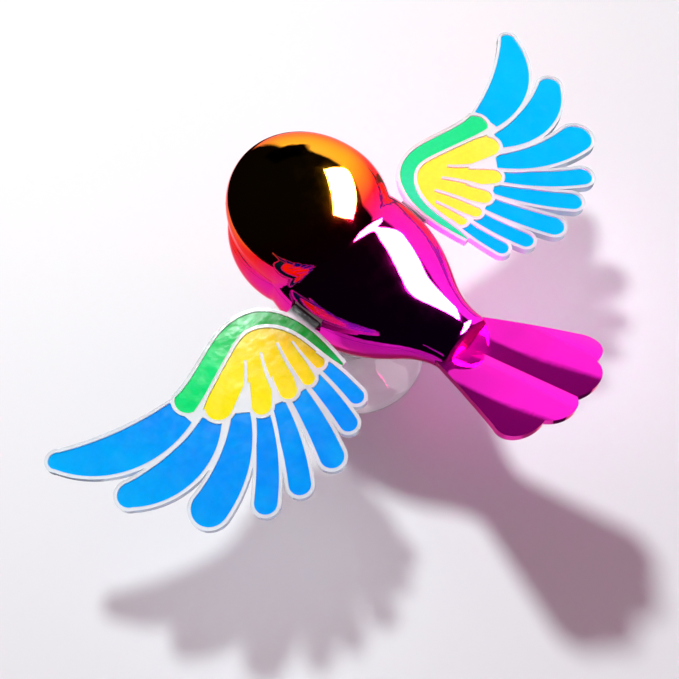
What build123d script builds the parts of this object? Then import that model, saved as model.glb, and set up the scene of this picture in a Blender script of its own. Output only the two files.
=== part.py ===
"""Flapping-wing bird ornament on a clear suction cup.

Millimetres. +Z is up, the bird faces -Y and its left wing points to +X. The origin is the centre of
the suction cup's bottom rim. Each finished piece is written to parts/ as one STEP file.
"""
import os
from math import acos, cos, pi, radians, sin, tan

from build123d import *

os.makedirs("parts", exist_ok=True)

# ---------------------------------------------------------------- driving dimensions
GAP = 0.05                 # clearance between pieces that are fixed together
WALL = 1.6                 # shell wall

SEAM_Z = 56.25             # parting plane of the two shells
SEAM_GAP = 0.1

HEAD_Y, HEAD_Z, HEAD_R = -16.1, 62.7, 21.8       # head ball, round about its own Y axis
HEAD_FRONT, HEAD_REAR = 26.0, 22.0               # how far it reaches forward and back
CHEEK_Y, CHEEK_Z, CHEEK_R, CHEEK_LONG = -18.6, 52.0, 22.2, 23.0
BODY_Y, BODY_Z, BODY_R, BODY_FRONT = -2.2, 51.3, 22.8, 30.0
BODY_PITCH = 7.4                                 # degrees, the rump is the higher end
RUMP_WAIST = (24, 15.8)                          # along and out from the body's axis
RUMP_END, RUMP_R = 42.6, 8.9                     # along the body's axis
LIP_ROUND = 2.2
CREASE_R, CREASE_REAR = 3.0, 5.0                 # all creases lie ahead of this Y

TAIL_PITCH = 27.0                                # degrees, slope of the tail's centre line
TAIL_ROOT_Y, TAIL_ROOT_Z = 36.0, 57.2            # crest of the fan where it enters the rump
TAIL_LOBE_X, TAIL_ARCH_R, TAIL_THICK = 8.2, 21.0, 2.2

HINGE_X, HINGE_Z = 17.2, 56.65                   # wing hinge, parallel to Y
PIN_R, RUNNING = 1.0, 0.06
WING_X, WING_Z, WING_DROOP = 22.5, 56.7, 4.69    # wing plane: a point on it and its slope in degrees
RIB_TOP, FILL_TOP, FILL_BOTTOM, PLATE_BOTTOM = 0.6, 0.1, -0.5, -1.6
TAB_LOW, TAB_HIGH = -1.3, 0.3
TAB_Y = (-3.1, 5.9)
RIM = 0.95                                       # clear border round the coloured fields
SLOT_Y = (-3.7, 6.5)
SLOT_HALF = 2.65

GEAR_TEETH = 30                                  # of a full wheel; each hub carries a sector
GEAR_FACE = (-1.3, 1.7)                          # Y span of the sector arms
PRESSURE_ANGLE = 20.0
BACKLASH = 0.24

CHASSIS_FLOOR = (41.0, 42.4)
BULKHEADS = [(-6.4, -4.4), (7.2, 9.2)]           # Y spans of the walls that hold the pins
BARREL_Y = (-4.1, 4.3)
CHASSIS_SCREWS = [(-11, -3), (11, -3), (-11, 5.6), (11, 5.6)]

CUP_R, CUP_NECK_R, CUP_TOP = 22.5, 7.0, 9.0
POST_R, SPIGOT_R, SHOULDER_Z, SPIGOT_TOP = 4.4, 3.0, 28.2, 36.4
SOCKET_R = 5.6

CELL_R, CELL_H, CELL_DEPTH = 8.0, 2.0, 3.6       # coin cell and how far it sits under the belly skin
DOOR_Y, DOOR_Z, DOOR_TILT, DOOR_R = 19.0, 36.4, 31.0, 9.6
SWITCH_Y, SWITCH_FLOOR, SWITCH_SKIN, SWITCH_TRAVEL = -9.5, 30.6, 1.3, 2.4
SHELL_SCREWS = [(-10, -28), (10, -28), (0, 33)]
SCREW_LEN, SCREW_R, SCREW_HEAD_R, SCREW_HEAD_H = 10.0, 1.0, 2.0, 1.4
SCREW_SEAT_Z = 50.0                              # where the shell screws' heads bear


def finish(piece, node):
    """Label a finished piece and write it."""
    piece.label = node
    export_step(piece, f"parts/{node}.step")


# ---------------------------------------------------------------- body volumes
body_plane = Plane(
    origin=(0, BODY_Y, BODY_Z),
    x_dir=(0, cos(radians(BODY_PITCH)), sin(radians(BODY_PITCH))),
    z_dir=(1, 0, 0),
)


def ball(centre_y, centre_z, radius, front, rear):
    """Round about an axis along Y: half an ellipse turned once round."""
    plane = Plane(origin=(0, centre_y, centre_z), x_dir=(0, 1, 0), z_dir=(1, 0, 0))
    with BuildPart() as solid:
        with BuildSketch(plane):
            with BuildLine():
                EllipticalCenterArc((0, 0), front, radius, 90, arc_size=90)
                EllipticalCenterArc((0, 0), rear, radius, 0, arc_size=90)
                Line((-front, 0), (rear, 0))
            make_face()
        revolve(axis=Axis((0, centre_y, centre_z), (0, 1, 0)))
    return solid.part


def trunk(inset):
    """Breast, back and rump: one profile turned about the body's pitched axis."""
    top = BODY_R - inset
    end = RUMP_END - inset
    lip = max(LIP_ROUND - inset, 0.5)
    with BuildPart() as solid:
        with BuildSketch(body_plane):
            with BuildLine():
                EllipticalCenterArc((0, 0), BODY_FRONT - inset, top, 90, arc_size=90)
                Spline(
                    [(0, top), (RUMP_WAIST[0], RUMP_WAIST[1] - inset), (end - lip, RUMP_R - inset)],
                    tangents=[(1, 0), (1, -0.03)],
                )
                RadiusArc((end - lip, RUMP_R - inset), (end, RUMP_R - inset - lip), lip)
                Line((end, RUMP_R - inset - lip), (end, 0))
                Line((end, 0), (inset - BODY_FRONT, 0))
            make_face()
        revolve(axis=Axis(body_plane.origin, body_plane.x_dir))
    return solid.part


def bird_volume(inset):
    """Head, cheeks and trunk in one, shrunk all round by inset."""
    with BuildPart() as volume:
        add(ball(HEAD_Y, HEAD_Z, HEAD_R - inset, HEAD_FRONT - inset, HEAD_REAR - inset))
        add(ball(CHEEK_Y, CHEEK_Z, CHEEK_R - inset, CHEEK_LONG - inset, CHEEK_LONG - inset))
        add(trunk(inset))
    return volume.part


def soft_creases(volume):
    """The volume with its curved creases, where head, cheeks and trunk meet, rounded."""
    curved = volume.edges().filter_by(GeomType.BSPLINE)
    creases = curved.filter_by(lambda edge: (edge @ 0.5).Y < CREASE_REAR)
    return volume.fillet(CREASE_R, creases)


outer = soft_creases(bird_volume(0))
inner = bird_volume(WALL)
mid_wall = bird_volume(WALL / 2)


# ---------------------------------------------------------------- tail fan
def tail_outline(grow):
    """Plan of the fan: straight sides, two lobes on each half and three notches."""
    side = [(8.4 + grow, TAIL_ROOT_Y - 1), (9.7 + grow, 38.6), (17.2 + grow, 60.9)]
    with BuildPart() as prism:
        with BuildSketch():
            with BuildLine():
                Polyline([(0, TAIL_ROOT_Y - 1), *side])
                ThreePointArc(side[-1], (16.2 + grow, 68.2 + grow), (10.6, 70.2 + grow))
                ThreePointArc((10.6, 70.2 + grow), (6.0, 74.2 + grow), (0, 72.2 + grow))
                Line((0, 72.2 + grow), (0, TAIL_ROOT_Y - 1))
            make_face()
            mirror(about=Plane.YZ)
        extrude(amount=90)
    return prism.part


def tail_slab(grow):
    """The fan's thickness, running up the tail's slope: one shallow arch on each half."""
    slope = radians(TAIL_PITCH)
    root = Plane(
        origin=(0, TAIL_ROOT_Y, TAIL_ROOT_Z),
        x_dir=(-1, 0, 0),
        z_dir=(0, cos(slope), sin(slope)),
    )
    with BuildPart() as slab:
        with BuildSketch(root.offset(-5)):
            with Locations((TAIL_LOBE_X, -TAIL_ARCH_R)):
                Circle(TAIL_ARCH_R + grow)
                Circle(TAIL_ARCH_R - TAIL_THICK - grow, mode=Mode.SUBTRACT)
            with Locations((11, 0)):
                Rectangle(22, 24, mode=Mode.INTERSECT)
        extrude(amount=54)
        mirror(about=Plane.YZ)
    return slab.part


TONGUE_HALF, TONGUE_FRONT = 6.0, 28.5
TONGUE_Z = (55.3, 57.3)


def tongue(grow):
    """Flat tongue that the rear screw clamps between the two shells."""
    with BuildPart() as plate:
        with BuildSketch(Plane.XY.offset(TONGUE_Z[0] - grow)):
            with Locations((0, (TONGUE_FRONT + TAIL_ROOT_Y + 1.5) / 2)):
                RectangleRounded(
                    2 * (TONGUE_HALF + grow),
                    TAIL_ROOT_Y + 1.5 - TONGUE_FRONT + 2 * grow,
                    1.5,
                )
        extrude(amount=TONGUE_Z[1] - TONGUE_Z[0] + 2 * grow)
    return plate.part


with BuildPart() as tail_fan:
    add(tail_outline(0))
    add(tail_slab(0), mode=Mode.INTERSECT)
    add(tongue(0))
    with BuildSketch(Plane.XY.offset(TONGUE_Z[0])):
        with Locations(SHELL_SCREWS[2]):
            Circle(SCREW_R + 0.1)
    extrude(amount=TONGUE_Z[1] - TONGUE_Z[0], mode=Mode.SUBTRACT)

with BuildPart() as tail_pocket:
    add(tail_outline(0.2))
    add(tail_slab(0.2), mode=Mode.INTERSECT)
    add(tongue(0.2))

finish(tail_fan.part, "tail_fan")


# ---------------------------------------------------------------- shells
def pillar(x, y, radius, low, high):
    """Upright round boss, cut off inside the shell wall it grows from."""
    with BuildPart() as boss:
        with BuildSketch(Plane.XY.offset(low)):
            with Locations((x, y)):
                Circle(radius)
        extrude(amount=high - low)
        add(mid_wall, mode=Mode.INTERSECT)
    return boss.part


def slots():
    """Openings on both flanks where the wing hubs come out."""
    with BuildPart() as cutters:
        for side in (-1, 1):
            with Locations((side * (HINGE_X + 4.4), sum(SLOT_Y) / 2, HINGE_Z)):
                Box(8, SLOT_Y[1] - SLOT_Y[0], 2 * SLOT_HALF)
    return cutters.part


door_plane = Plane(
    origin=(0, DOOR_Y, DOOR_Z),
    x_dir=(1, 0, 0),
    z_dir=(0, sin(radians(DOOR_TILT)), -cos(radians(DOOR_TILT))),
)


def door_plug(radius):
    """Prism that the battery door is cut out with, square to the belly there."""
    with BuildPart() as plug:
        with BuildSketch(door_plane.offset(-4.0)):
            Circle(radius)
            with Locations((0, -radius)):
                Circle(radius - DOOR_R + 3.0)
        extrude(amount=9)
    return plug.part


def switch_pad():
    """Thickened floor that the slide switch stands on, inside the belly."""
    with BuildPart() as pad:
        with BuildSketch(Plane.XY.offset(26)):
            with Locations((0, SWITCH_Y)):
                Rectangle(13, 7)
        extrude(amount=SWITCH_FLOOR + SWITCH_SKIN - 26)
        add(mid_wall, mode=Mode.INTERSECT)
    return pad.part


with BuildPart() as upper_shell:
    add(outer)
    add(inner, mode=Mode.SUBTRACT)
    for x, y in SHELL_SCREWS:
        add(pillar(x, y, 3.2, SEAM_Z, 90))
    split(bisect_by=Plane.XY.offset(SEAM_Z + SEAM_GAP / 2), keep=Keep.TOP)
    add(tail_pocket.part, mode=Mode.SUBTRACT)
    add(slots(), mode=Mode.SUBTRACT)
    with BuildSketch(Plane.XY.offset(SCREW_SEAT_Z)):
        with Locations(*SHELL_SCREWS):
            Circle(SCREW_R + GAP)
    extrude(amount=SCREW_LEN + 1, mode=Mode.SUBTRACT)

with BuildPart() as lower_shell:
    add(outer)
    add(inner, mode=Mode.SUBTRACT)
    for x, y in SHELL_SCREWS:
        add(pillar(x, y, 3.2, 20, SEAM_Z))
    for x, y in CHASSIS_SCREWS:
        add(pillar(x, y, 2.4, 20, CHASSIS_FLOOR[0] - GAP))
    split(bisect_by=Plane.XY.offset(SEAM_Z - SEAM_GAP / 2), keep=Keep.BOTTOM)
    # swivel socket: a flat collar round the mount post
    with BuildSketch(Plane.XY.offset(SHOULDER_Z + 0.2)):
        Circle(SOCKET_R)
    extrude(amount=SPIGOT_TOP - SHOULDER_Z - 0.4)
    add(switch_pad())
    with BuildSketch(Plane.XY.offset(20)):
        with Locations((0, SWITCH_Y)):
            RectangleRounded(10, 4.6, 1)
    extrude(amount=SWITCH_FLOOR - 20, mode=Mode.SUBTRACT)
    with Locations((0, SWITCH_Y, SWITCH_FLOOR)):
        Box(6.4, 2.4, 8, mode=Mode.SUBTRACT)
    with BuildSketch():
        Circle(SPIGOT_R + RUNNING)
    extrude(amount=45, mode=Mode.SUBTRACT)
    add(tail_pocket.part, mode=Mode.SUBTRACT)
    add(slots(), mode=Mode.SUBTRACT)
    add(door_plug(DOOR_R + 0.2), mode=Mode.SUBTRACT)
    with BuildSketch(Plane.XY.offset(20)):
        with Locations(*SHELL_SCREWS):
            Circle(SCREW_HEAD_R + 0.2)
    extrude(amount=SCREW_SEAT_Z - 20, mode=Mode.SUBTRACT)
    with BuildSketch(Plane.XY.offset(20)):
        with Locations(*SHELL_SCREWS):
            Circle(SCREW_R + 0.1)
    extrude(amount=40, mode=Mode.SUBTRACT)
    with BuildSketch(Plane.XY.offset(36)):
        with Locations(*CHASSIS_SCREWS):
            Circle(0.8 + GAP)
    extrude(amount=6, mode=Mode.SUBTRACT)

finish(upper_shell.part.solids().sort_by(SortBy.VOLUME)[-1], "upper_shell")
finish(lower_shell.part, "lower_shell")


# ---------------------------------------------------------------- face
BEAK_ROOT, BEAK_TIP = Vector(0, -40.0, 48.0), Vector(0, -46.2, 43.4)
EYE_R, EYE_REACH = 2.6, 23.6                     # reach from the head ball's centre

beak_plane = Plane(origin=BEAK_ROOT, x_dir=(1, 0, 0), z_dir=BEAK_TIP - BEAK_ROOT)
with BuildPart() as beak:
    with BuildSketch(beak_plane):
        Ellipse(3.6, 3.0)
    with BuildSketch(beak_plane.offset(4.6)):
        Ellipse(2.1, 1.8)
    with BuildSketch(beak_plane.offset((BEAK_TIP - BEAK_ROOT).length)):
        Ellipse(0.5, 0.45)
    loft()
    add(outer, mode=Mode.SUBTRACT)
finish(beak.part.solids().sort_by(Axis.Y)[0], "beak")

EYE_DIRECTION = Vector(0.42, -0.89, -0.17)       # of the left eye
with BuildPart() as eyes:
    for side in (-1, 1):
        look = Vector(side * EYE_DIRECTION.X, EYE_DIRECTION.Y, EYE_DIRECTION.Z)
        centre = Vector(0, HEAD_Y, HEAD_Z) + look * EYE_REACH
        with Locations(centre):
            Sphere(EYE_R)
    add(outer, mode=Mode.SUBTRACT)
finish(eyes.part, "eyes")


# ---------------------------------------------------------------- wings
wing_plane = Plane(
    origin=(WING_X, 0, WING_Z),
    x_dir=(cos(radians(WING_DROOP)), 0, -sin(radians(WING_DROOP))),
    z_dir=(sin(radians(WING_DROOP)), 0, cos(radians(WING_DROOP))),
)

# Feathers in the wing plane, outboard and tailward from its origin, from the wing tip inwards:
# root, tip centre, sideways bow of the centre line, half widths at root, middle and tip
FEATHERS = [
    ((41.4, -4.7), (72.0, -19.9), -4.2, (4.2, 5.6, 2.3)),
    ((37.4, 3.0), (65.6, 1.2), -4.0, (2.7, 5.0, 3.4)),
    ((31.0, 7.4), (54.6, 19.1), -2.3, (2.4, 4.1, 4.9)),
    ((28.0, 12.2), (44.3, 28.9), -0.9, (2.1, 2.8, 3.0)),
    ((23.0, 12.8), (35.0, 32.1), -0.8, (2.2, 2.7, 2.9)),
    ((17.3, 15.0), (24.2, 33.3), -0.4, (2.4, 2.9, 3.2)),
    ((11.6, 15.5), (14.7, 30.5), -0.3, (2.0, 2.3, 2.4)),
    ((6.8, 15.2), (7.9, 27.2), -0.2, (1.6, 1.9, 2.1)),
]
# Coverts, the short lobes near the body, in the same form
COVERTS = [
    ((16.0, -3.6), (33.6, 1.9), -0.2, (2.4, 3.0, 3.7)),
    ((14.5, -2.0), (26.0, 10.1), -0.2, (2.4, 2.9, 2.6)),
    ((11.5, -2.0), (18.4, 12.6), -0.2, (2.2, 2.6, 2.4)),
    ((9.0, 0.0), (12.5, 14.2), -0.2, (1.8, 2.0, 1.9)),
    ((7.4, 0.0), (7.3, 13.2), 0.1, (1.8, 1.7, 1.7)),
]
# Short clear ribs between the coverts, in the same form
COVERT_RIBS = [
    ((19.6, -2.0), (28.0, 5.4), -0.4, (0.35, 0.5, 0.6)),
    ((15.2, -0.4), (21.2, 11.0), 0.5, (0.35, 0.5, 0.6)),
    ((10.4, 1.0), (14.7, 13.4), 0.3, (0.35, 0.5, 0.6)),
    ((7.4, 3.8), (9.4, 14.2), 0.2, (0.3, 0.4, 0.5)),
]
LEADING_OUTER = [(3.3, 18.6), (1.9, 8.0), (3.2, -3.0), (7.6, -9.8), (14, -12.6), (25, -11.5), (39.4, -8.9)]
LEADING_INNER = [
    (39.0, -2.2), (29, -4.7), (20, -7.3), (13.4, -8.0),
    (8.6, -5.2), (5.2, 1.0), (4.4, 9), (3.9, 18.6),
]
COVERT_TOP = [(5.0, 11.0), (5.6, 3.0), (8.4, -4.0), (13.4, -7.3), (19.8, -6.9), (29.2, -4.1), (37.0, -0.8)]
COVERT_INSIDE = [(33.6, 1.9), (24, 3), (16, 5), (9, 9)]


def blade(root, tip, bow, widths, grow=0.0, mode=Mode.ADD):
    """Feather outline: two bowed sides, a round tip and a straight root."""
    root, tip = Vector(*root), Vector(*tip)
    along = (tip - root).normalized()
    across = Vector(-along.Y, along.X)
    turn = 2 * bow / ((tip - root).length / 2)
    leave = (across + along * turn).normalized()
    arrive = (across - along * turn).normalized()
    ahead = (along + across * turn).normalized()
    at_root, at_middle, at_tip = (w + grow for w in widths)
    middle = (root + tip) / 2 - across * bow
    root = root - along * grow
    with BuildLine() as outline:
        ThreePointArc(root + leave * at_root, middle + across * at_middle, tip + arrive * at_tip)
        ThreePointArc(tip + arrive * at_tip, tip + ahead * at_tip, tip - arrive * at_tip)
        ThreePointArc(tip - arrive * at_tip, middle - across * at_middle, root - leave * at_root)
        Line(root - leave * at_root, root + leave * at_root)
    make_face(outline.edges(), mode=mode)


def shifted(points, grow):
    """Points moved sideways off their own run, to its left as it goes."""
    moved = []
    for number, (u, v) in enumerate(points):
        before = points[max(number - 1, 0)]
        after = points[min(number + 1, len(points) - 1)]
        run = Vector(after[0] - before[0], after[1] - before[1]).normalized()
        moved.append((u + run.Y * grow, v - run.X * grow))
    return moved


def green_outline(grow):
    """Leading-edge band: bent like an elbow, thin at its inner end."""
    front, back = shifted(LEADING_OUTER, grow), shifted(LEADING_INNER, grow)
    with BuildSketch() as band:
        with BuildLine():
            Spline(front)
            ThreePointArc(front[-1], (41.2 + grow, -5.4), back[0])
            Spline(back)
            Line(back[-1], front[0])
        make_face()
    return band.sketch


def yellow_outline(grow):
    """Coverts: a solid shoulder along the band with five round lobes."""
    with BuildSketch() as coverts:
        with BuildLine():
            Spline(COVERT_TOP)
            Polyline([COVERT_TOP[-1], *COVERT_INSIDE, COVERT_TOP[0]])
        make_face()
        for covert in COVERTS:
            blade(*covert, grow=grow)
    return coverts.sketch


green = green_outline(0)
green_rim = green_outline(RIM)

with BuildSketch() as yellow_sketch:
    add(yellow_outline(0))
    for rib in COVERT_RIBS:
        blade(*rib, mode=Mode.SUBTRACT)
    add(green_rim, mode=Mode.SUBTRACT)
yellow = yellow_sketch.sketch
yellow_rim = yellow_outline(RIM)

blue_faces = []
for number, feather in enumerate(FEATHERS):
    with BuildSketch() as cell:
        blade(*feather)
        if number:
            blade(*FEATHERS[number - 1], grow=RIM, mode=Mode.SUBTRACT)
        add(yellow_rim, mode=Mode.SUBTRACT)
        add(green_rim, mode=Mode.SUBTRACT)
    blue_faces.append(cell.sketch.faces().sort_by(SortBy.AREA)[-1])

with BuildSketch() as plate_sketch:
    add(green_rim)
    add(yellow_rim)
    for feather in FEATHERS:
        blade(*feather, grow=RIM)

with BuildSketch() as plate_whole:
    make_face(plate_sketch.face().outer_wire().edges())
plate_outline = plate_whole.sketch


def raised(faces, low, high):
    """Extrude wing-plane faces between two heights over the wing plane."""
    with BuildPart() as layer:
        with BuildSketch(wing_plane.offset(low)):
            for face in faces:
                add(face)
        extrude(amount=high - low)
    return layer.part


with BuildPart() as wing_plate:
    add(raised(plate_outline.faces(), PLATE_BOTTOM, RIB_TOP))
    with BuildSketch(wing_plane.offset(TAB_LOW)):
        with Locations(((HINGE_X + 2.4 - WING_X + 3.5) / 2, sum(TAB_Y) / 2)):
            Rectangle(3.5 - (HINGE_X + 2.4 - WING_X), TAB_Y[1] - TAB_Y[0])
    extrude(amount=TAB_HIGH - TAB_LOW)
    for field in (green.faces(), yellow.faces(), blue_faces):
        add(raised(field, FILL_BOTTOM, RIB_TOP + 1), mode=Mode.SUBTRACT)

fills = {
    "green_fill": raised(green.faces(), FILL_BOTTOM, FILL_TOP),
    "yellow_fill": raised(yellow.faces(), FILL_BOTTOM, FILL_TOP),
    "blue_fill": raised(blue_faces, FILL_BOTTOM, FILL_TOP),
}

for node, piece in [("wing_plate", wing_plate.part), *fills.items()]:
    finish(piece, f"left_{node}")
    finish(piece.mirror(Plane.YZ), f"right_{node}")


# ---------------------------------------------------------------- wing drive
PITCH_R = HINGE_X
MODULE = 2 * PITCH_R / GEAR_TEETH
ROOT_R, TIP_R = PITCH_R - 1.25 * MODULE, PITCH_R + 0.95 * MODULE
BASE_R = PITCH_R * cos(radians(PRESSURE_ANGLE))
MAGNET_R, MAGNET_H, MAGNET_ARM = 3.0, 2.6, 11.0
CLAMP_OUT, CLAMP_WALL = 3.8, 0.6


def involute(radius):
    """Involute function of the pressure angle at a radius."""
    angle = acos(min(1.0, BASE_R / radius))
    return tan(angle) - angle


def flank_angle(radius):
    """Half the angle that a tooth covers at a radius."""
    half_tooth = (pi * MODULE / 2 - BACKLASH / 2) / 2 / PITCH_R
    return half_tooth + involute(PITCH_R) - involute(radius)


def polar(radius, angle):
    """Point of the drive plane seen from the hinge; angle 0 points inboard, to -X."""
    return (-radius * cos(angle), radius * sin(angle))


def sector(teeth):
    """Toothed sector arm of the left hub, drawn about its hinge."""
    pitch_angle = 2 * pi / GEAR_TEETH
    first = (teeth[0] - 0.55) * pitch_angle
    last = (teeth[-1] + 0.55) * pitch_angle
    with BuildSketch() as arm:
        with BuildLine():
            Line((0, 0), polar(ROOT_R, first))
            ThreePointArc(polar(ROOT_R, first), polar(ROOT_R, (first + last) / 2), polar(ROOT_R, last))
            Line(polar(ROOT_R, last), (0, 0))
        make_face()
        for tooth in teeth:
            centre = tooth * pitch_angle
            inside, at_base = ROOT_R - 0.3, flank_angle(BASE_R)
            radii = (BASE_R, PITCH_R, TIP_R)
            low = [polar(r, centre - flank_angle(r)) for r in radii]
            high = [polar(r, centre + flank_angle(r)) for r in radii]
            with BuildLine():
                Line(polar(inside, centre - at_base), low[0])
                ThreePointArc(*low)
                Line(low[-1], high[-1])
                ThreePointArc(*high)
                Line(high[0], polar(inside, centre + at_base))
                Line(polar(inside, centre + at_base), polar(inside, centre - at_base))
            make_face()
    return arm.sketch


def hub(teeth):
    """Wing hub of the left side: barrel, clamp for the wing's tab, toothed arm with its magnet seat."""
    barrel_plane = Plane(origin=(HINGE_X, BARREL_Y[0], HINGE_Z), x_dir=(1, 0, 0), z_dir=(0, 1, 0))
    drive_plane = Plane(origin=(HINGE_X, GEAR_FACE[1], HINGE_Z), x_dir=(1, 0, 0), z_dir=(0, -1, 0))
    clamp_low, clamp_high = TAB_LOW - CLAMP_WALL - GAP, TAB_HIGH + CLAMP_WALL + GAP
    clamp_start, clamp_end = HINGE_X - WING_X + 0.6, HINGE_X - WING_X + CLAMP_OUT
    with BuildPart() as piece:
        with BuildSketch(barrel_plane):
            Circle(2.2)
        extrude(amount=BARREL_Y[1] - BARREL_Y[0])
        with BuildSketch(drive_plane):
            add(sector(teeth))
        extrude(amount=GEAR_FACE[1] - GEAR_FACE[0])
        with BuildSketch(wing_plane.offset(clamp_low)):
            with Locations(((clamp_start + clamp_end) / 2, (TAB_Y[0] - 0.3 + BARREL_Y[1]) / 2)):
                Rectangle(clamp_end - clamp_start, BARREL_Y[1] - TAB_Y[0] + 0.3)
            with Locations(((clamp_start + 1.9 + clamp_end) / 2, sum(TAB_Y) / 2)):
                Rectangle(clamp_end - clamp_start - 1.9, TAB_Y[1] - TAB_Y[0] + 0.6)
        extrude(amount=clamp_high - clamp_low)
        with BuildSketch(wing_plane.offset(TAB_LOW - GAP)):
            with Locations((HINGE_X + 2.35 - WING_X + 5, sum(TAB_Y) / 2)):
                Rectangle(10, TAB_Y[1] - TAB_Y[0] + 2 * GAP)
        extrude(amount=TAB_HIGH - TAB_LOW + 2 * GAP, mode=Mode.SUBTRACT)
        with BuildSketch(barrel_plane):
            Circle(PIN_R + RUNNING)
        extrude(amount=12, mode=Mode.SUBTRACT)
        with BuildSketch(drive_plane):
            with Locations((-MAGNET_ARM, 0)):
                Circle(MAGNET_R + GAP)
        extrude(amount=MAGNET_H + 0.1, mode=Mode.SUBTRACT)
    return piece.part


with BuildPart() as drive_magnet:
    with BuildSketch(Plane(origin=(HINGE_X - MAGNET_ARM, GEAR_FACE[1], HINGE_Z), z_dir=(0, -1, 0))):
        Circle(MAGNET_R)
    extrude(amount=MAGNET_H)
    chamfer(drive_magnet.edges(), 0.2)

finish(hub([-1, 0, 1, 2]), "left_wing_hub")
finish(hub([-1.5, -0.5, 0.5, 1.5, 2.5]).mirror(Plane.YZ), "right_wing_hub")
finish(drive_magnet.part, "left_drive_magnet")
finish(drive_magnet.part.mirror(Plane.YZ), "right_drive_magnet")

PIN_Y = (BULKHEADS[0][0] - 0.3, BULKHEADS[1][1] + 0.3)
with BuildPart() as hinge_pins:
    for side in (-1, 1):
        with BuildSketch(Plane(origin=(side * HINGE_X, PIN_Y[0], HINGE_Z), z_dir=(0, 1, 0))):
            Circle(PIN_R)
        extrude(amount=PIN_Y[1] - PIN_Y[0])
    chamfer(hinge_pins.edges(), 0.2)
finish(hinge_pins.part, "hinge_pins")

SPRING_R, SPRING_WIRE, SPRING_TURNS, SPRING_PITCH, SPRING_LEG = 1.75, 0.22, 3, 0.62, 1.8
SPRING_Y = BARREL_Y[1] + 0.45


def torsion_spring():
    """Coil round the left hinge pin with one straight leg at each end."""
    with BuildPart() as spring:
        with BuildLine() as wire:
            coil = Helix(
                SPRING_PITCH,
                SPRING_TURNS * SPRING_PITCH,
                SPRING_R,
                center=(HINGE_X, SPRING_Y, HINGE_Z),
                direction=(0, 1, 0),
            )
            leg_end = coil @ 0 - (coil % 0) * SPRING_LEG
            Line(leg_end, coil @ 0)
            Line(coil @ 1, coil @ 1 + (coil % 1) * SPRING_LEG)
        with BuildSketch(Plane(origin=leg_end, z_dir=coil % 0)):
            Circle(SPRING_WIRE)
        sweep(path=wire.line)
    return spring.part


with BuildPart() as return_springs:
    add(torsion_spring())
    add(torsion_spring().mirror(Plane.YZ))
finish(return_springs.part, "return_springs")

FLOOR_X, BOARD_FLOOR_X, BOARD_FLOOR_Y = 13.4, 10.0, -24.0
BOARD_STANDOFFS = [(-7, -22), (7, -22), (-7, -9.5), (7, -9.5)]
STANDOFF_TOP = CHASSIS_FLOOR[1] + 1.0
BULKHEAD_HALF, BULKHEAD_TOP, EAR_R = 9.0, 64.0, 1.9

with BuildPart() as chassis:
    with BuildSketch(Plane.XY.offset(CHASSIS_FLOOR[0])):
        with Locations((0, (BULKHEADS[0][0] + BULKHEADS[1][1]) / 2)):
            RectangleRounded(2 * FLOOR_X, BULKHEADS[1][1] - BULKHEADS[0][0], 1.5)
        with Locations((0, (BOARD_FLOOR_Y + BULKHEADS[0][1]) / 2)):
            RectangleRounded(2 * BOARD_FLOOR_X, BULKHEADS[0][1] - BOARD_FLOOR_Y, 1.5)
        with Locations(*CHASSIS_SCREWS):
            Circle(0.8 + 0.2, mode=Mode.SUBTRACT)
    extrude(amount=CHASSIS_FLOOR[1] - CHASSIS_FLOOR[0])
    with BuildSketch(Plane.XY.offset(CHASSIS_FLOOR[1])):
        with Locations(*BOARD_STANDOFFS):
            Circle(1.4)
    extrude(amount=STANDOFF_TOP - CHASSIS_FLOOR[1])
    for near, far in BULKHEADS:
        wall = Plane(origin=(0, far, 0), x_dir=(1, 0, 0), z_dir=(0, -1, 0))
        with BuildSketch(wall):
            with Locations((0, (CHASSIS_FLOOR[0] + BULKHEAD_TOP) / 2)):
                RectangleRounded(2 * BULKHEAD_HALF, BULKHEAD_TOP - CHASSIS_FLOOR[0], 1.0)
            with Locations((0, HINGE_Z)):
                SlotCenterToCenter(2 * HINGE_X, 2 * EAR_R)
            with Locations((-HINGE_X, HINGE_Z), (HINGE_X, HINGE_Z)):
                Circle(PIN_R + 0.02, mode=Mode.SUBTRACT)
        extrude(amount=far - near)
finish(chassis.part, "chassis")

COIL_Y = (GEAR_FACE[1] + 1.0, BULKHEADS[1][0] - GAP)
COIL_R, COIL_CORE_R, COIL_FLANGE = 7.0, 2.4, 0.6
coil_plane = Plane(origin=(0, COIL_Y[0], HINGE_Z), x_dir=(1, 0, 0), z_dir=(0, 1, 0))
COIL_LONG = COIL_Y[1] - COIL_Y[0]

with BuildPart() as coil_bobbin:
    with BuildSketch(coil_plane, coil_plane.offset(COIL_LONG - COIL_FLANGE)):
        Circle(COIL_R)
    extrude(amount=COIL_FLANGE)
    with BuildSketch(coil_plane):
        Circle(COIL_CORE_R)
    extrude(amount=COIL_LONG)
    with BuildSketch(coil_plane):
        Circle(1.1)
    extrude(amount=COIL_LONG, mode=Mode.SUBTRACT)
finish(coil_bobbin.part, "coil_bobbin")

with BuildPart() as coil_winding:
    with BuildSketch(coil_plane.offset(COIL_FLANGE + GAP)):
        Circle(COIL_R - 0.4)
        Circle(COIL_CORE_R + GAP, mode=Mode.SUBTRACT)
    extrude(amount=COIL_LONG - 2 * (COIL_FLANGE + GAP))
finish(coil_winding.part, "coil_winding")

# ---------------------------------------------------------------- electronics
BOARD_X, BOARD_Y = 18.0, (-23.5, -7.6)
BOARD_Z = STANDOFF_TOP + GAP
BOARD_THICK = 1.2
BOARD_MID = sum(BOARD_Y) / 2

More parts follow.
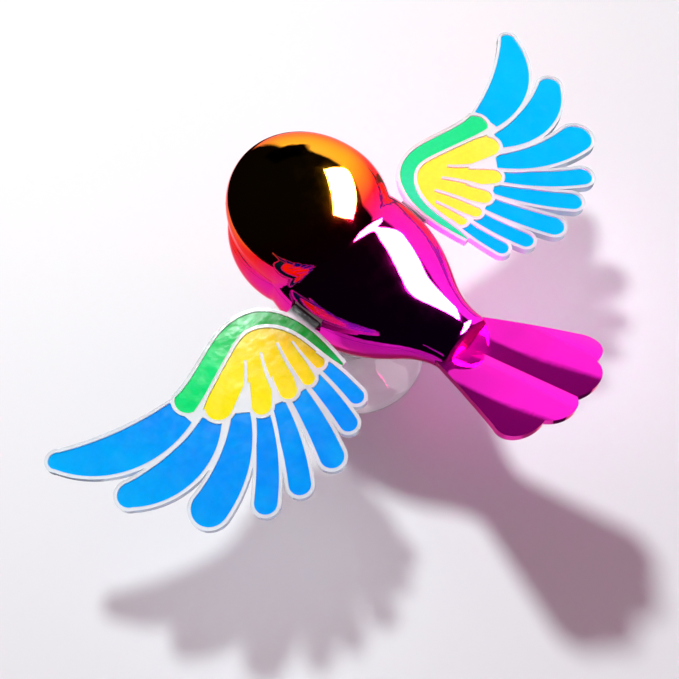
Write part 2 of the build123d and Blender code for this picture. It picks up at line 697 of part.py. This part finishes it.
with BuildPart() as circuit_board:
    with BuildSketch(Plane.XY.offset(BOARD_Z)):
        with Locations((0, BOARD_MID)):
            RectangleRounded(BOARD_X, BOARD_Y[1] - BOARD_Y[0], 1.0)
    extrude(amount=BOARD_THICK)
finish(circuit_board.part, "circuit_board")

BOARD_TOP = BOARD_Z + BOARD_THICK + GAP
with BuildPart() as board_components:
    with Locations((0, BOARD_MID, BOARD_TOP)):
        Cylinder(2.8, 1.1, align=(Align.CENTER, Align.CENTER, Align.MIN))
        fillet(board_components.edges().sort_by(Axis.Z)[-1], 0.8)
    with Locations((-5.4, BOARD_MID - 3.5, BOARD_TOP)):
        Cylinder(2.5, 5.0, align=(Align.CENTER, Align.CENTER, Align.MIN))
    for step in range(3):
        with Locations((5.4, BOARD_MID - 4.5 + 3.0 * step, BOARD_TOP)):
            Box(2.4, 1.2, 0.7, align=(Align.CENTER, Align.CENTER, Align.MIN))
finish(board_components.part, "board_components")

inside = bird_volume(WALL + 0.1)
inward = door_plane.offset(-CELL_DEPTH)
HOLDER_R, HOLDER_FLANGE_R = 9.3, 11.2
DOOR_SCREW_SINK = 2.0

with BuildPart() as cell_holder:
    with BuildSketch(inward.offset(-CELL_H - 1.6)):
        Circle(HOLDER_R)
    extrude(amount=CELL_H + 1.8)
    with BuildSketch(door_plane.offset(-6.0)):
        Circle(HOLDER_FLANGE_R)
        with Locations((0, -DOOR_R)):
            Circle(3.6)
    extrude(amount=4.0)
    with BuildSketch(inward.offset(-CELL_H - 0.5)):
        Circle(CELL_R + 0.15)
    extrude(amount=12, mode=Mode.SUBTRACT)
    with BuildSketch(door_plane.offset(-12)):
        with Locations((0, -DOOR_R - 0.8)):
            Circle(0.8 + GAP)
    extrude(amount=14, mode=Mode.SUBTRACT)
    add(inside, mode=Mode.INTERSECT)
finish(cell_holder.part, "cell_holder")

with BuildPart() as coin_cell:
    with BuildSketch(inward.offset(-CELL_H)):
        Circle(CELL_R)
    extrude(amount=CELL_H)
    chamfer(coin_cell.edges().filter_by(GeomType.CIRCLE), 0.25)
finish(coin_cell.part, "coin_cell")

with BuildPart() as cell_contacts:
    with BuildSketch(inward.offset(-CELL_H - 0.4)):
        Circle(3.4)
        Circle(2.0, mode=Mode.SUBTRACT)
    extrude(amount=0.35)
    with BuildSketch(inward.offset(0.05)):
        with Locations((0, 4.2)):
            Rectangle(5, 1.6)
    extrude(amount=0.3)
finish(cell_contacts.part, "cell_contacts")

with BuildPart() as battery_door:
    add(outer)
    add(inner, mode=Mode.SUBTRACT)
    add(door_plug(DOOR_R), mode=Mode.INTERSECT)
    with BuildSketch(door_plane.offset(-12)):
        with Locations((0, -DOOR_R - 0.8)):
            Circle(1.0)
    extrude(amount=16, mode=Mode.SUBTRACT)
    with BuildSketch(door_plane.offset(-DOOR_SCREW_SINK)):
        with Locations((0, -DOOR_R - 0.8)):
            Circle(1.8)
    extrude(amount=6, mode=Mode.SUBTRACT)
finish(battery_door.part.solids().sort_by(Axis.Z)[0], "battery_door")


def pan_screw(head_r, head_h, shank_r, shank_len):
    """Cross-slotted pan-head screw pointing down its own -Z, head seat at 0."""
    with BuildPart() as screw:
        Cylinder(head_r, head_h, align=(Align.CENTER, Align.CENTER, Align.MIN))
        fillet(screw.edges().sort_by(Axis.Z)[-1], 0.45 * head_h)
        Cylinder(shank_r, shank_len, align=(Align.CENTER, Align.CENTER, Align.MAX))
        with Locations((0, 0, head_h)):
            Box(1.3 * head_r, 0.3 * head_r, head_h, mode=Mode.SUBTRACT)
            Box(0.3 * head_r, 1.3 * head_r, head_h, mode=Mode.SUBTRACT)
    return screw.part


door_screw_plane = door_plane.offset(-DOOR_SCREW_SINK).shift_origin(
    door_plane.from_local_coords((0, -DOOR_R - 0.8, -DOOR_SCREW_SINK))
)
with BuildPart() as door_screw:
    with Locations(door_screw_plane.location):
        add(pan_screw(1.6, 0.9, 0.8, 5.0))
finish(door_screw.part, "door_screw")

SWITCH_BODY_Z = SWITCH_FLOOR + SWITCH_SKIN + GAP
with BuildPart() as switch_body:
    with Locations((0, SWITCH_Y, SWITCH_BODY_Z)):
        Box(8.6, 3.8, 3.4, align=(Align.CENTER, Align.CENTER, Align.MIN))
        Box(6.0, 2.0, 2.4, mode=Mode.SUBTRACT)
finish(switch_body.part, "switch_body")

with BuildPart() as switch_knob:
    with Locations((-SWITCH_TRAVEL / 2, SWITCH_Y, SWITCH_BODY_Z + 0.9)):
        Box(2.6, 1.7, 4.2, align=(Align.CENTER, Align.CENTER, Align.MAX))
    fillet(switch_knob.faces().sort_by(Axis.Z)[0].edges(), 0.3)
finish(switch_knob.part, "switch_knob")

# ---------------------------------------------------------------- screws
with BuildPart() as shell_screws:
    for x, y in SHELL_SCREWS:
        seat = Plane(origin=(x, y, SCREW_SEAT_Z), z_dir=(0, 0, -1))
        with Locations(seat.location):
            add(pan_screw(SCREW_HEAD_R, SCREW_HEAD_H, SCREW_R, SCREW_LEN))
finish(shell_screws.part, "shell_screws")

with BuildPart() as chassis_screws:
    for x, y in CHASSIS_SCREWS:
        with Locations((x, y, CHASSIS_FLOOR[1])):
            add(pan_screw(1.7, 1.1, 0.8, 5.0))
finish(chassis_screws.part, "chassis_screws")

# ---------------------------------------------------------------- mount
NECK_BORE_R, FOOT_R, FOOT_Z, NECK_TOP = 3.2, 4.9, (4.6, 6.0), CUP_TOP + 1.6
CUP_DOME = [(CUP_R, 0.9), (19.0, 2.6), (13.5, 4.4), (9.2, 6.4), (CUP_NECK_R, 8.4)]
HOLLOW_R, HOLLOW_H = 20.4, 2.0

with BuildPart() as suction_cup:
    with BuildSketch(Plane.XZ):
        with BuildLine():
            Line((HOLLOW_R, 0), (CUP_R, 0))
            Line((CUP_R, 0), (CUP_R, 0.9))
            Spline(CUP_DOME)
            Polyline([CUP_DOME[-1], (CUP_NECK_R, NECK_TOP), (0, NECK_TOP), (0, HOLLOW_H)])
            ThreePointArc((0, HOLLOW_H), (HOLLOW_R * 0.55, HOLLOW_H * 0.72), (HOLLOW_R, 0))
        make_face()
        with BuildLine():
            Polyline(
                [
                    (0, FOOT_Z[0] - GAP),
                    (FOOT_R + GAP, FOOT_Z[0] - GAP),
                    (FOOT_R + GAP, FOOT_Z[1] + GAP),
                    (NECK_BORE_R, FOOT_Z[1] + GAP),
                    (NECK_BORE_R, NECK_TOP + 1),
                    (0, NECK_TOP + 1),
                ],
                close=True,
            )
        make_face(mode=Mode.SUBTRACT)
    revolve(axis=Axis.Z)
    rounds = suction_cup.edges().filter_by(GeomType.CIRCLE)
    top_edge = rounds.group_by(Axis.Z)[-1].sort_by(SortBy.LENGTH)[-1]
    fillet(top_edge, 0.7)
finish(suction_cup.part, "suction_cup")

POST_COLLAR_R = 6.0
with BuildPart() as mount_post:
    with BuildSketch(Plane.XZ):
        with BuildLine():
            Polyline(
                [
                    (0, FOOT_Z[0]),
                    (FOOT_R, FOOT_Z[0]),
                    (FOOT_R, FOOT_Z[1]),
                    (NECK_BORE_R - GAP, FOOT_Z[1]),
                    (NECK_BORE_R - GAP, NECK_TOP + GAP),
                    (POST_COLLAR_R, NECK_TOP + GAP),
                    (POST_COLLAR_R, NECK_TOP + 1.2),
                    (POST_R, NECK_TOP + 2.6),
                    (POST_R, SHOULDER_Z),
                    (SPIGOT_R, SHOULDER_Z),
                    (SPIGOT_R, SPIGOT_TOP),
                    (1.0 + GAP, SPIGOT_TOP),
                    (1.0 + GAP, SPIGOT_TOP - 7),
                    (0, SPIGOT_TOP - 7),
                ],
                close=True,
            )
        make_face()
    revolve(axis=Axis.Z)
finish(mount_post.part, "mount_post")

WASHER_H = 0.8
with BuildPart() as swivel_washer:
    with Locations((0, 0, SPIGOT_TOP)):
        Cylinder(4.6, WASHER_H, align=(Align.CENTER, Align.CENTER, Align.MIN))
        Cylinder(1.2, 2 * WASHER_H, mode=Mode.SUBTRACT)
finish(swivel_washer.part, "swivel_washer")

with BuildPart() as post_screw:
    with Locations((0, 0, SPIGOT_TOP + WASHER_H)):
        add(pan_screw(2.0, 1.4, 1.0, 6.5))
finish(post_screw.part, "post_screw")
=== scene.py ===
"""Looks for the flapping-wing bird ornament: mirror-bright body, translucent wings, clear suction cup.

Metres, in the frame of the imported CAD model: +Z up, the bird faces -Y, its left wing points to +X.
"""
import math

import bmesh
import bpy
from mathutils import Matrix, Vector


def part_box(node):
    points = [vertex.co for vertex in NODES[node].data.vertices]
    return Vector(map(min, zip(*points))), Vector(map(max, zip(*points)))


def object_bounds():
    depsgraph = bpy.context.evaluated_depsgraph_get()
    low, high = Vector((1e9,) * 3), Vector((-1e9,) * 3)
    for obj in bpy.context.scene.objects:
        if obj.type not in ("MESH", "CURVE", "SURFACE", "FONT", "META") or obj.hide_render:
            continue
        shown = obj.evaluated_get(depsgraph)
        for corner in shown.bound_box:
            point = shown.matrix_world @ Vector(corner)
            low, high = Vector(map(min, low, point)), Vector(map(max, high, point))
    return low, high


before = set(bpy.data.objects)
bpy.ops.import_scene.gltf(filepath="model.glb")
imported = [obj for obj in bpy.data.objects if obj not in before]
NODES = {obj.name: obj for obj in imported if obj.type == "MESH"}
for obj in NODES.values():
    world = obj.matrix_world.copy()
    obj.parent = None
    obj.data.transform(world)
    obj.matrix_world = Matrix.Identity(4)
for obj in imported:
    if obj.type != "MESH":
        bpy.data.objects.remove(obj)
CAD_LOW, CAD_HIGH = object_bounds()
MM = 0.001


# ---------------------------------------------------------------- node helpers
def new_material(name):
    """An empty node material: its tree, its Principled shader and an object-space coordinate."""
    material = bpy.data.materials.new(name)
    material.use_nodes = True
    tree = material.node_tree
    shader = tree.nodes["Principled BSDF"]
    place = tree.nodes.new("ShaderNodeTexCoord").outputs["Object"]
    return material, tree, shader, place


def math_node(tree, operation, *values):
    """One Math node; a value is a number or a socket."""
    node = tree.nodes.new("ShaderNodeMath")
    node.operation = operation
    for number, value in enumerate(values):
        if isinstance(value, (int, float)):
            node.inputs[number].default_value = value
        else:
            tree.links.new(value, node.inputs[number])
    return node.outputs[0]


def axes_of(tree, place):
    """The three coordinates of a place, each as a socket."""
    node = tree.nodes.new("ShaderNodeSeparateXYZ")
    tree.links.new(place, node.inputs[0])
    return node.outputs


def noise(tree, place, scale, detail=3.0, rough=0.5):
    """Noise from 0 to 1 at scale features per metre."""
    node = tree.nodes.new("ShaderNodeTexNoise")
    node.inputs["Scale"].default_value = scale
    node.inputs["Detail"].default_value = detail
    node.inputs["Roughness"].default_value = rough
    tree.links.new(place, node.inputs["Vector"])
    return node.outputs["Fac"]


def spread(tree, value, low, high, to_low=0.0, to_high=1.0):
    """A value's range stretched from low..high to to_low..to_high, and cut off there."""
    node = tree.nodes.new("ShaderNodeMapRange")
    tree.links.new(value, node.inputs["Value"])
    for name, number in (("From Min", low), ("From Max", high), ("To Min", to_low), ("To Max", to_high)):
        node.inputs[name].default_value = number
    return node.outputs["Result"]


def ramp(tree, value, stops):
    """Colour ramp; stops are (position, linear colour)."""
    node = tree.nodes.new("ShaderNodeValToRGB")
    elements = node.color_ramp.elements
    while len(elements) < len(stops):
        elements.new(0.5)
    for element, (position, colour) in zip(elements, stops):
        element.position = position
        element.color = (*colour, 1.0)
    tree.links.new(value, node.inputs["Fac"])
    return node.outputs["Color"]


def mixed(tree, factor, first, second, blend="MIX"):
    """Two colours mixed by a factor; a colour is a socket or a linear triple."""
    node = tree.nodes.new("ShaderNodeMix")
    node.data_type = "RGBA"
    node.blend_type = blend
    for name, value in (("Factor", factor), ("A", first), ("B", second)):
        socket = node.inputs[name]
        if isinstance(value, tuple):
            socket.default_value = (*value, 1.0)
        elif isinstance(value, (int, float)):
            socket.default_value = value
        else:
            tree.links.new(value, socket)
    return node.outputs["Result"]


def bump(tree, shader, height, strength, distance):
    """Fine relief from a height socket."""
    node = tree.nodes.new("ShaderNodeBump")
    node.inputs["Strength"].default_value = strength
    node.inputs["Distance"].default_value = distance
    tree.links.new(height, node.inputs["Height"])
    tree.links.new(node.outputs[0], shader.inputs["Normal"])


def settings(shader, **values):
    """Uniform values, set on the shader's own sockets. Underscores stand for spaces."""
    for name, value in values.items():
        shader.inputs[name.replace("_", " ")].default_value = value


# ---------------------------------------------------------------- materials
def mirror_coating(name, stops, low, high, slope, metallic):
    """Metallised lacquer whose colour runs along the body, with faint orange-peel and handling haze."""
    material, tree, shader, place = new_material(name)
    y, z = axes_of(tree, place)[1:3]
    along = math_node(tree, "SUBTRACT", math_node(tree, "MULTIPLY", z, slope), y)
    cloud = noise(tree, place, 38, 2)
    along = math_node(tree, "ADD", along, spread(tree, cloud, 0.3, 0.7, -0.002, 0.002))
    colour = ramp(tree, spread(tree, along, low, high), stops)
    tree.links.new(colour, shader.inputs["Base Color"])
    haze = noise(tree, place, 260, 4)
    tree.links.new(spread(tree, haze, 0.35, 0.8, 0.035, 0.075), shader.inputs["Roughness"])
    bump(tree, shader, noise(tree, place, 420, 1), 0.02, 0.0004)
    settings(shader, Metallic=metallic, Coat_Weight=0.12, Coat_Roughness=0.02, Coat_IOR=1.5)
    shader.inputs["Specular Tint"].default_value = (1.0, 0.22, 0.30, 1.0)
    return material


def lacquer(name, stops, accent):
    """Thick translucent paint in a wing field, mottled where it pooled; its colour runs tip to tip with
    painted light and shade, lighter on the right wing and darker on the left wing next to the body.
    """
    material, tree, shader, place = new_material(name)
    across = axes_of(tree, place)[0]
    base = ramp(tree, spread(tree, across, -HALF_SPAN, HALF_SPAN), stops)
    pooled = spread(tree, noise(tree, place, 140, 4, 0.6), 0.42, 0.72)
    base = mixed(tree, math_node(tree, "MULTIPLY", pooled, 0.4), base, accent)
    fine = spread(tree, noise(tree, place, 900, 2), 0.3, 0.7, 0.94, 1.0)
    shade = tree.nodes.new("ShaderNodeCombineColor")
    for socket in shade.inputs:
        tree.links.new(fine, socket)
    base = mixed(tree, 1.0, base, shade.outputs[0], "MULTIPLY")
    tree.links.new(base, shader.inputs["Base Color"])
    gloss = spread(tree, noise(tree, place, 300, 3), 0.3, 0.8, 0.10, 0.24)
    tree.links.new(gloss, shader.inputs["Roughness"])
    bump(tree, shader, noise(tree, place, 240, 2), 0.12, 0.0006)
    settings(shader, Transmission_Weight=0.18, IOR=1.42, Coat_Weight=0.2, Coat_Roughness=0.06)
    return material


def clear_plastic(name, tint, cloudy, transmission, roughness):
    """Clear moulded plastic with a little milkiness, faint flow lines and fine scuffs."""
    material, tree, shader, place = new_material(name)
    flow = noise(tree, place, 90, 3, 0.6)
    colour = ramp(tree, flow, [(0.3, tint), (0.7, cloudy)])
    tree.links.new(colour, shader.inputs["Base Color"])
    scuffs = spread(tree, noise(tree, place, 700, 5, 0.7), 0.45, 0.8, roughness, roughness + 0.16)
    tree.links.new(scuffs, shader.inputs["Roughness"])
    bump(tree, shader, noise(tree, place, 180, 2), 0.05, 0.0005)
    settings(shader, Transmission_Weight=transmission, IOR=1.46, Coat_Weight=0.3, Coat_Roughness=0.03)
    return material


def wing_plastic(name):
    """The wing plate: milky in its ribs, with painted shade darkening the tab that enters the body."""
    material = clear_plastic(name, CLEAR, (0.90, 0.95, 1.0), 0.55, 0.05)
    tree = material.node_tree
    shader = tree.nodes["Principled BSDF"]
    place = tree.nodes.new("ShaderNodeTexCoord").outputs["Object"]
    outboard = math_node(tree, "ABSOLUTE", axes_of(tree, place)[0])
    # Painted shade: the colour of the tab inside the body's slot is mixed to near black
    painted_tab_shade = spread(tree, outboard, TAB_END, TAB_END + 2 * MM, 1.0, 0.0)
    colour = shader.inputs["Base Color"].links[0].from_socket
    tree.links.new(mixed(tree, painted_tab_shade, colour, (0.10, 0.09, 0.10)), shader.inputs["Base Color"])
    return material


def moulded(name, colour, roughness, grain=1200.0, relief=0.15):
    """Opaque moulded plastic: fine spark texture and slight shade changes."""
    material, tree, shader, place = new_material(name)
    darker = tuple(c * 0.72 for c in colour)
    shade = ramp(tree, noise(tree, place, 160, 3), [(0.3, darker), (0.7, colour)])
    tree.links.new(shade, shader.inputs["Base Color"])
    texture = noise(tree, place, grain, 3)
    rough = spread(tree, texture, 0.3, 0.7, roughness - 0.06, roughness + 0.08)
    tree.links.new(rough, shader.inputs["Roughness"])
    bump(tree, shader, texture, relief, 0.0002)
    return material


def metal(name, colour, roughness=0.28):
    """Plated or turned metal with fine directional wear."""
    material, tree, shader, place = new_material(name)
    dull = tuple(c * 0.6 for c in colour)
    shade = ramp(tree, noise(tree, place, 350, 4, 0.7), [(0.35, dull), (0.6, colour)])
    tree.links.new(shade, shader.inputs["Base Color"])
    wear = noise(tree, place, 1600, 3)
    tree.links.new(spread(tree, wear, 0.3, 0.8, roughness, roughness + 0.18), shader.inputs["Roughness"])
    bump(tree, shader, wear, 0.08, 0.0001)
    settings(shader, Metallic=1.0)
    return material


GOLD, ORANGE, RED = (1.0, 0.34, 0.006), (0.95, 0.17, 0.004), (0.9, 0.012, 0.02)
PINK, MAGENTA, VIOLET = (0.88, 0.004, 0.13), (0.85, 0.005, 0.34), (0.85, 0.006, 0.62)
BODY_LOW, BODY_HIGH, BODY_SLOPE = 0.045, 0.130, 1.3
body_stops = [(0.0, VIOLET), (0.27, (0.85, 0.005, 0.48)), (0.5, MAGENTA), (0.62, PINK),
              (0.69, RED), (0.78, ORANGE), (0.86, GOLD), (1.0, (1.0, 0.4, 0.02))]
# Tail colour: magenta, turning darker towards the root as a painted dark reflection
tail_stops_with_painted_dark_root = [(0.0, (0.9, 0.004, 0.75)), (0.62, (0.9, 0.004, 0.55)),
              (0.80, (0.30, 0.002, 0.20)), (1.0, (0.16, 0.002, 0.11))]

# Wing colours from the right wing's tip, 0, to the left wing's tip, 1, with painted light and shade: the
# right wing painted lighter, the left wing painted darker next to the body
HALF_SPAN = CAD_HIGH.x
blue_lit_and_shaded_stops = [(0.0, (0.0, 0.57, 1.0)), (0.35, (0.0, 0.50, 0.98)), (0.65, (0.0, 0.28, 0.95)),
              (0.85, (0.0, 0.31, 1.0)), (1.0, (0.0, 0.46, 1.0))]
yellow_lit_and_shaded_stops = [(0.0, (0.97, 0.95, 0.12)), (0.4, (0.97, 0.9, 0.05)), (0.62, (0.45, 0.16, 0.0)),
                (0.67, (0.9, 0.66, 0.0)), (0.74, (0.97, 0.84, 0.004))]
green_lit_and_shaded_stops = [(0.0, (0.02, 0.85, 0.3)), (0.38, (0.02, 0.8, 0.28)), (0.62, (0.0, 0.2, 0.0)),
               (0.69, (0.0, 0.5, 0.07)), (0.75, (0.0, 0.78, 0.19))]
CLEAR = (0.96, 0.98, 1.0)
TAB_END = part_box("left_green_fill")[0].x - 1.5 * MM   # where the left wing's tab meets its plate
materials = {
    "body": mirror_coating("metallised_body", body_stops, BODY_LOW, BODY_HIGH, BODY_SLOPE, 1.0),
    "tail": mirror_coating("metallised_tail", tail_stops_with_painted_dark_root, -0.02, 0.06, BODY_SLOPE, 0.84),
    "blue": lacquer("blue_lacquer", blue_lit_and_shaded_stops, (0.0, 0.50, 1.0)),
    "yellow": lacquer("yellow_lacquer", yellow_lit_and_shaded_stops, (1.0, 0.88, 0.02)),
    "green": lacquer("green_lacquer", green_lit_and_shaded_stops, (0.0, 0.86, 0.26)),
    "wing": wing_plastic("clear_wing"),
    "clear": clear_plastic("clear_vinyl", CLEAR, (0.98, 0.96, 0.98), 0.80, 0.03),
    "black": moulded("black_plastic", (0.012, 0.012, 0.014), 0.32),
    "grey": moulded("grey_plastic", (0.05, 0.05, 0.055), 0.5),
    "white": moulded("white_nylon", (0.72, 0.71, 0.68), 0.5),
    "board": moulded("board_green", (0.01, 0.10, 0.035), 0.4),
    "beak": moulded("beak_orange", (0.85, 0.26, 0.01), 0.22, 500, 0.05),
    "eye": moulded("eye_black", (0.004, 0.004, 0.005), 0.06, 300, 0.01),
    "steel": metal("steel", (0.62, 0.61, 0.59)),
    "copper": metal("copper_wire", (0.85, 0.32, 0.13)),
    "magnet": metal("nickel_magnet", (0.45, 0.45, 0.47), 0.2),
}

wears = {
    "body": ["upper_shell", "lower_shell", "battery_door"],
    "tail": ["tail_fan"],
    "blue": ["left_blue_fill", "right_blue_fill"],
    "yellow": ["left_yellow_fill", "right_yellow_fill"],
    "green": ["left_green_fill", "right_green_fill"],
    "wing": ["left_wing_plate", "right_wing_plate"],
    "clear": ["suction_cup", "mount_post"],
    "black": ["switch_knob", "switch_body", "board_components"],
    "grey": ["chassis", "coil_bobbin", "cell_holder"],
    "white": ["left_wing_hub", "right_wing_hub", "swivel_washer"],
    "board": ["circuit_board"],
    "beak": ["beak"],
    "eye": ["eyes"],
    "copper": ["coil_winding"],
    "magnet": ["left_drive_magnet", "right_drive_magnet"],
}
worn = {node: key for key, names in wears.items() for node in names}
for node, piece in NODES.items():
    piece.data.materials.clear()
    piece.data.materials.append(materials[worn.get(node, "steel")])


# ---------------------------------------------------------------- stage
def ray_visibility(piece, camera=True, diffuse=True, glossy=True, transmission=True, shadow=True):
    piece.visible_camera = camera
    piece.visible_diffuse = diffuse
    piece.visible_glossy = glossy
    piece.visible_transmission = transmission
    piece.visible_shadow = shadow


def mesh_piece(name, mesh_builder, material):
    """A new mesh object from a bmesh that mesh_builder fills."""
    shape = bmesh.new()
    mesh_builder(shape)
    mesh = bpy.data.meshes.new(name)
    shape.to_mesh(mesh)
    shape.free()
    mesh.materials.append(material)
    piece = bpy.data.objects.new(name, mesh)
    bpy.context.scene.collection.objects.link(piece)
    return piece


def floor_material():
    """Pale glossy table top with faint mottling."""
    material, tree, shader, place = new_material("table_top")
    shade = ramp(tree, noise(tree, place, 3, 2), [(0.3, (0.80, 0.80, 0.84)), (0.7, (0.86, 0.86, 0.89))])
    tree.links.new(shade, shader.inputs["Base Color"])
    rough = spread(tree, noise(tree, place, 60, 3), 0.3, 0.7, 0.30, 0.40)
    tree.links.new(rough, shader.inputs["Roughness"])
    settings(shader, IOR=1.4)
    return material


NEAR_RADIUS, FAR_RADIUS, SIDES = 0.105, 3.0, 96


def on_circle(shape, radius):
    """Vertices round a circle on the table."""
    angles = [2 * math.pi * side / SIDES for side in range(SIDES)]
    return [shape.verts.new((radius * math.cos(t), radius * math.sin(t), 0)) for t in angles]


def near_disc(shape):
    """The part of the table that the bird's mirror finish picks up."""
    shape.faces.new(on_circle(shape, NEAR_RADIUS))


def far_ring(shape):
    """The rest of the table."""
    inner, outer = on_circle(shape, NEAR_RADIUS), on_circle(shape, FAR_RADIUS)
    for side in range(SIDES):
        after = (side + 1) % SIDES
        shape.faces.new((inner[side], outer[side], outer[after], inner[after]))


table_top = floor_material()
near = mesh_piece("table_near", near_disc, table_top)
far = mesh_piece("table_far", far_ring, table_top)
ray_visibility(far, glossy=False)


def emitter(name, strength, edge):
    """Soft-edged glow: its strength falls to nothing over the outer share, edge, of the half sides."""
    material = bpy.data.materials.new(name)
    material.use_nodes = True
    tree = material.node_tree
    tree.nodes.clear()
    out = tree.nodes.new("ShaderNodeOutputMaterial")
    glow = tree.nodes.new("ShaderNodeEmission")
    clear = tree.nodes.new("ShaderNodeBsdfTransparent")
    mix = tree.nodes.new("ShaderNodeMixShader")
    place = tree.nodes.new("ShaderNodeTexCoord").outputs["Object"]
    x, y = axes_of(tree, place)[:2]
    inside_x = spread(tree, math_node(tree, "ABSOLUTE", x), 1.0 - edge, 1.0, 1.0, 0.0)
    inside_y = spread(tree, math_node(tree, "ABSOLUTE", y), 1.0 - edge, 1.0, 1.0, 0.0)
    tree.links.new(math_node(tree, "MULTIPLY", inside_x, inside_y), mix.inputs["Fac"])
    glow.inputs["Color"].default_value = (1.0, 1.0, 1.0, 1.0)
    glow.inputs["Strength"].default_value = strength
    tree.links.new(clear.outputs[0], mix.inputs[1])
    tree.links.new(glow.outputs[0], mix.inputs[2])
    tree.links.new(mix.outputs[0], out.inputs["Surface"])
    return material


def direction(azimuth, elevation):
    """Unit vector towards an azimuth, 0 at -Y and 90 at +X, and an elevation, in degrees."""
    a, e = math.radians(azimuth), math.radians(elevation)
    return Vector((math.sin(a) * math.cos(e), -math.cos(a) * math.cos(e), math.sin(e)))


AIM = Vector((0, 0, 0.055))   # the middle of the bird, which cards and lamps face
CARD_DISTANCE = 0.8


def card(name, azimuth, elevation, wide, high, strength, edge):
    """Glowing card that only mirror finishes see; wide and high are the angles it spans, in degrees."""
    def square(shape):
        corners = [shape.verts.new((u, v, 0)) for u, v in ((-1, -1), (1, -1), (1, 1), (-1, 1))]
        shape.faces.new(corners)

    piece = mesh_piece(name, square, emitter(name + "_glow", strength, edge))
    way = direction(azimuth, elevation)
    turn = (-way).to_track_quat("Z", "Y").to_matrix().to_4x4()
    half_w = CARD_DISTANCE * math.tan(math.radians(wide / 2))
    half_h = CARD_DISTANCE * math.tan(math.radians(high / 2))
    size = Matrix.Diagonal((half_w, half_h, 1, 1))
    piece.matrix_world = Matrix.Translation(AIM + way * CARD_DISTANCE) @ turn @ size
    ray_visibility(piece, camera=False, diffuse=False, transmission=False, shadow=False)
    return piece


wall = card("wall_card", 279, -8, 112, 76, 1.35, edge=0.16)
soft_box = card("soft_box", 237, 47, 68, 36, 150.0, edge=0.04)
tail_glow = card("tail_card", 331, 22, 40, 26, 1.15, edge=0.25)


def linked(name, nodes):
    """A collection of CAD nodes that a lamp or card is limited to."""
    group = bpy.data.collections.new(name)
    for node in nodes:
        group.objects.link(NODES[node])
    return group


# Each card shows only in the pieces named here, and none shows in the table
soft_box.light_linking.receiver_collection = linked("shells_only", wears["body"])
tail_glow.light_linking.receiver_collection = linked("tail_only", wears["tail"])
wall.light_linking.receiver_collection = linked("whole_bird", NODES)


def studio_world():
    """Pale surround for the camera and soft fill for the table, but a dark room in mirror finishes."""
    world = bpy.data.worlds.new("studio")
    bpy.context.scene.world = world
    world.use_nodes = True
    tree = world.node_tree
    tree.nodes.clear()
    out = tree.nodes.new("ShaderNodeOutputWorld")
    pale = tree.nodes.new("ShaderNodeBackground")
    dark = tree.nodes.new("ShaderNodeBackground")
    mix = tree.nodes.new("ShaderNodeMixShader")
    paths = tree.nodes.new("ShaderNodeLightPath")
    pale.inputs["Color"].default_value = (1.0, 0.68, 0.78, 1.0)
    pale.inputs["Strength"].default_value = 0.38
    dark.inputs["Color"].default_value = (0.5, 0.6, 1.0, 1.0)
    dark.inputs["Strength"].default_value = 0.005
    tree.links.new(paths.outputs["Is Glossy Ray"], mix.inputs["Fac"])
    tree.links.new(pale.outputs[0], mix.inputs[1])
    tree.links.new(dark.outputs[0], mix.inputs[2])
    tree.links.new(mix.outputs[0], out.inputs["Surface"])


studio_world()


def area_light(name, azimuth, elevation, distance, size, power, colour=(1, 1, 1)):
    """Round area light aimed at the bird, with no image of itself in shiny pieces."""
    data = bpy.data.lights.new(name, "AREA")
    data.shape = "DISK"
    data.size = size
    data.energy = power
    data.color = colour
    lamp = bpy.data.objects.new(name, data)
    bpy.context.scene.collection.objects.link(lamp)
    way = direction(azimuth, elevation)
    lamp.location = AIM + way * distance
    lamp.rotation_mode = "QUATERNION"
    lamp.rotation_quaternion = way.to_track_quat("Z", "Y")
    lamp.visible_glossy = False
    return lamp


# The wings and the cup let light through, so most of the key light passes them unblocked
see_through = [node for key in ("blue", "yellow", "green", "wing", "clear") for node in wears[key]]
solid_nodes = [node for node in NODES if node not in see_through]
KEY = dict(azimuth=345, elevation=63, distance=0.75, size=0.09, colour=(0.88, 1.0, 0.95))
key_through = area_light("key_through", power=1.7, **KEY)
key_through.light_linking.blocker_collection = linked("key_blockers", solid_nodes)
area_light("key_rest", power=4.1, **KEY)

# Fill light on the clear cup and post only, which the body doesn't shade
FILL = dict(azimuth=150, elevation=50, distance=0.4, size=0.1, colour=(1.0, 0.80, 0.86))
cup_fill = area_light("cup_fill", power=1.1, **FILL)
cup_fill.light_linking.receiver_collection = linked("cup_only", wears["clear"])
cup_fill.light_linking.blocker_collection = linked("cup_blockers", wears["clear"])

# Broad sheen on the pieces that aren't mirrors; only their shiny coats see it
sheen = area_light("sheen", azimuth=235, elevation=50, distance=0.8, size=0.75, power=3.5)
sheen.visible_glossy = True
sheen.visible_diffuse = False
sheen.visible_transmission = False
mirrors = wears["body"] + wears["tail"]
not_mirrors = [node for node in NODES if node not in mirrors]
sheen.light_linking.receiver_collection = linked("not_mirrors", not_mirrors)


# ---------------------------------------------------------------- camera
CAMERA_AZIMUTH, CAMERA_ELEVATION = 132.018, 63.699
CAMERA_PLACE = Vector((120.67, 102.60, 327.83)) * MM


def add_camera():
    """Camera above, behind and to the left of the bird."""
    data = bpy.data.cameras.new("camera")
    camera = bpy.data.objects.new("camera", data)
    bpy.context.scene.collection.objects.link(camera)
    data.sensor_width = 36.0
    data.lens = 59.93
    data.clip_start = 0.01
    data.clip_end = 20.0
    azimuth, elevation = CAMERA_AZIMUTH, CAMERA_ELEVATION
    back = direction(azimuth, elevation)
    right = Vector((math.cos(math.radians(azimuth)), math.sin(math.radians(azimuth)), 0))
    up = back.cross(right)
    turn = Matrix((right, up, back)).transposed().to_4x4()
    camera.matrix_world = Matrix.Translation(CAMERA_PLACE) @ turn
    bpy.context.scene.camera = camera


add_camera()
bpy.context.scene.view_settings.view_transform = "Standard"
bpy.context.scene.view_settings.look = "None"
